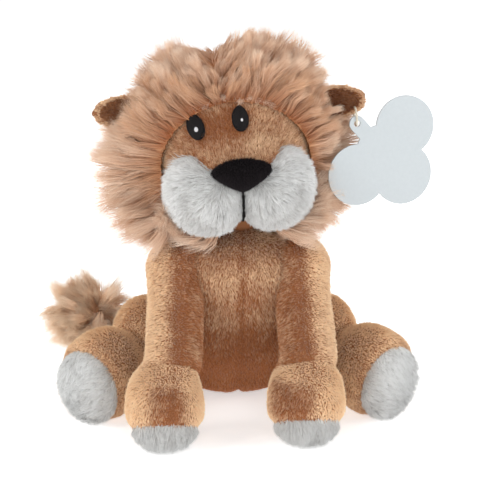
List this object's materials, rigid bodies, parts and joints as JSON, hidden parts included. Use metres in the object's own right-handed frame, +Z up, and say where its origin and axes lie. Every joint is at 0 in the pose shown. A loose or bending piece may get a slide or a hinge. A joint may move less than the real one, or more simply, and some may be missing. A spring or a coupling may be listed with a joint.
{
  "type": "plush lion",
  "caption": "Sitting plush lion with a long-pile mane, white muzzle and soles, a tufted tail and a blank clover-shaped hang tag on one ear.",
  "frame": {"origin": "middle of the flat under the seat", "axes": "+Z up, the lion faces -Y and its left side is +X"},
  "size_m": [0.1512, 0.1287, 0.1463],
  "materials": {
    "tan_pile": "short plush pile",
    "white_pile": "soft white pile",
    "mane_pile": "long pile, pale at the tips",
    "black_thread": "embroidery",
    "white_thread": "embroidery",
    "filling": "polyester fibre",
    "pellets": "plastic pellets in a bag",
    "card": "smooth white sheet",
    "nylon": "clear nylon thread"
  },
  "bodies": {
    "torso": {"torso_skin": "tan_pile", "pellet_pouch": "pellets", "torso_filling": "filling"},
    "neck": {"neck_filling": "filling"},
    "head": {"head_skin": "tan_pile", "head_filling": "filling", "snout_bridge": "tan_pile", "cheek_left": "white_pile", "cheek_right": "white_pile", "nose": "black_thread", "mouth_stitch": "black_thread", "eye_left": "black_thread", "eye_glint_left": "white_thread", "eye_right": "black_thread", "eye_glint_right": "white_thread", "mane_ruff": "mane_pile", "mane_back": "mane_pile"},
    "ear_left": {"ear_left_back": "tan_pile", "ear_left_lining": "tan_pile", "tag_loop": "nylon"},
    "ear_right": {"ear_right_back": "tan_pile", "ear_right_lining": "tan_pile"},
    "tag": {"hang_tag": "card"},
    "tail": {"tail_skin": "tan_pile", "tail_filling": "filling", "tail_tuft": "mane_pile"},
    "front_leg_left": {"front_leg_left_sleeve": "tan_pile", "front_paw_left": "tan_pile", "front_pad_left": "white_pile", "front_leg_left_filling": "filling"},
    "hind_leg_left": {"haunch_left": "tan_pile", "hind_foot_left": "tan_pile", "hind_sole_left": "white_pile", "hind_leg_left_filling": "filling"},
    "front_leg_right": {"front_leg_right_sleeve": "tan_pile", "front_paw_right": "tan_pile", "front_pad_right": "white_pile", "front_leg_right_filling": "filling"},
    "hind_leg_right": {"haunch_right": "tan_pile", "hind_foot_right": "tan_pile", "hind_sole_right": "white_pile", "hind_leg_right_filling": "filling"}
  },
  "joints": [
    {"name": "head_turn", "type": "hinge", "parent": "torso", "child": "neck", "pos_m": [0, -0.03, 0.08], "axis": [0, 0, 1], "range_deg": [-20, 20], "stiffness_Nm_per_rad": 0.3},
    {"name": "head_nod", "type": "hinge", "parent": "neck", "child": "head", "pos_m": [0, -0.03, 0.08], "axis": [1, 0, 0], "range_deg": [-12, 7], "stiffness_Nm_per_rad": 0.4},
    {"name": "front_leg_left_swing", "type": "hinge", "parent": "torso", "child": "front_leg_left", "pos_m": [0.0233, -0.039, 0.06004], "axis": [-1, 0, 0], "range_deg": [0, 50], "stiffness_Nm_per_rad": 0.1},
    {"name": "front_leg_right_swing", "type": "hinge", "parent": "torso", "child": "front_leg_right", "pos_m": [-0.0233, -0.039, 0.06004], "axis": [-1, 0, 0], "range_deg": [0, 50], "stiffness_Nm_per_rad": 0.1},
    {"name": "hind_leg_left_lift", "type": "hinge", "parent": "torso", "child": "hind_leg_left", "pos_m": [0.03139, -0.012, 0.021], "axis": [-1, 0, 0], "range_deg": [0, 30], "stiffness_Nm_per_rad": 0.1},
    {"name": "hind_leg_right_lift", "type": "hinge", "parent": "torso", "child": "hind_leg_right", "pos_m": [-0.03139, -0.012, 0.021], "axis": [-1, 0, 0], "range_deg": [0, 30], "stiffness_Nm_per_rad": 0.1},
    {"name": "tail_swing", "type": "hinge", "parent": "torso", "child": "tail", "pos_m": [0, 0.02925, 0.01368], "axis": [0, 0, -1], "range_deg": [0, 60], "stiffness_Nm_per_rad": 0.02},
    {"name": "ear_left_fold", "type": "hinge", "parent": "head", "child": "ear_left", "pos_m": [0.02254, -0.03822, 0.12137], "axis": [-0.0784, -0.0027, 0.9969], "range_deg": [-12, 12], "stiffness_Nm_per_rad": 0.02},
    {"name": "ear_right_fold", "type": "hinge", "parent": "head", "child": "ear_right", "pos_m": [-0.02839, -0.04, 0.12097], "axis": [-0.0784, -0.0027, 0.9969], "range_deg": [-12, 12], "stiffness_Nm_per_rad": 0.02},
    {"name": "tag_swing", "type": "hinge", "parent": "ear_left", "child": "tag", "pos_m": [0.04405, -0.04197, 0.1149], "axis": [0.2588, -0.9659, 0], "range_deg": [0, 45]}
  ]
}
